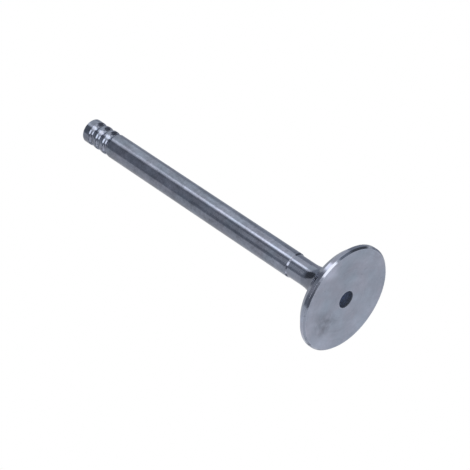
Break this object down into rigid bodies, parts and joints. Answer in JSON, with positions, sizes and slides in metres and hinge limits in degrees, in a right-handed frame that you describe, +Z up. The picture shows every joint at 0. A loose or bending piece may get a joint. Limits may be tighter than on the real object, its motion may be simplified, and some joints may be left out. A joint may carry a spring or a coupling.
{
  "type": "engine valve",
  "caption": "Poppet valve: a round stem with keeper grooves at its tip and a flared disc head with a flat combustion face, a conical seat and a centre recess.",
  "frame": {"origin": "centre of the combustion face, which is the bottom of the part's box", "axes": "+Z up the stem's axis from the head to the tip; the part is round, so +X and +Y are free"},
  "size_m": [0.042, 0.042, 0.14],
  "materials": {
    "valve_steel": "ground and turned bare steel, slightly cool grey, satin; the centre recess is left dark"
  },
  "bodies": {
    "root": {"valve": "valve_steel"}
  },
  "joints": []
}
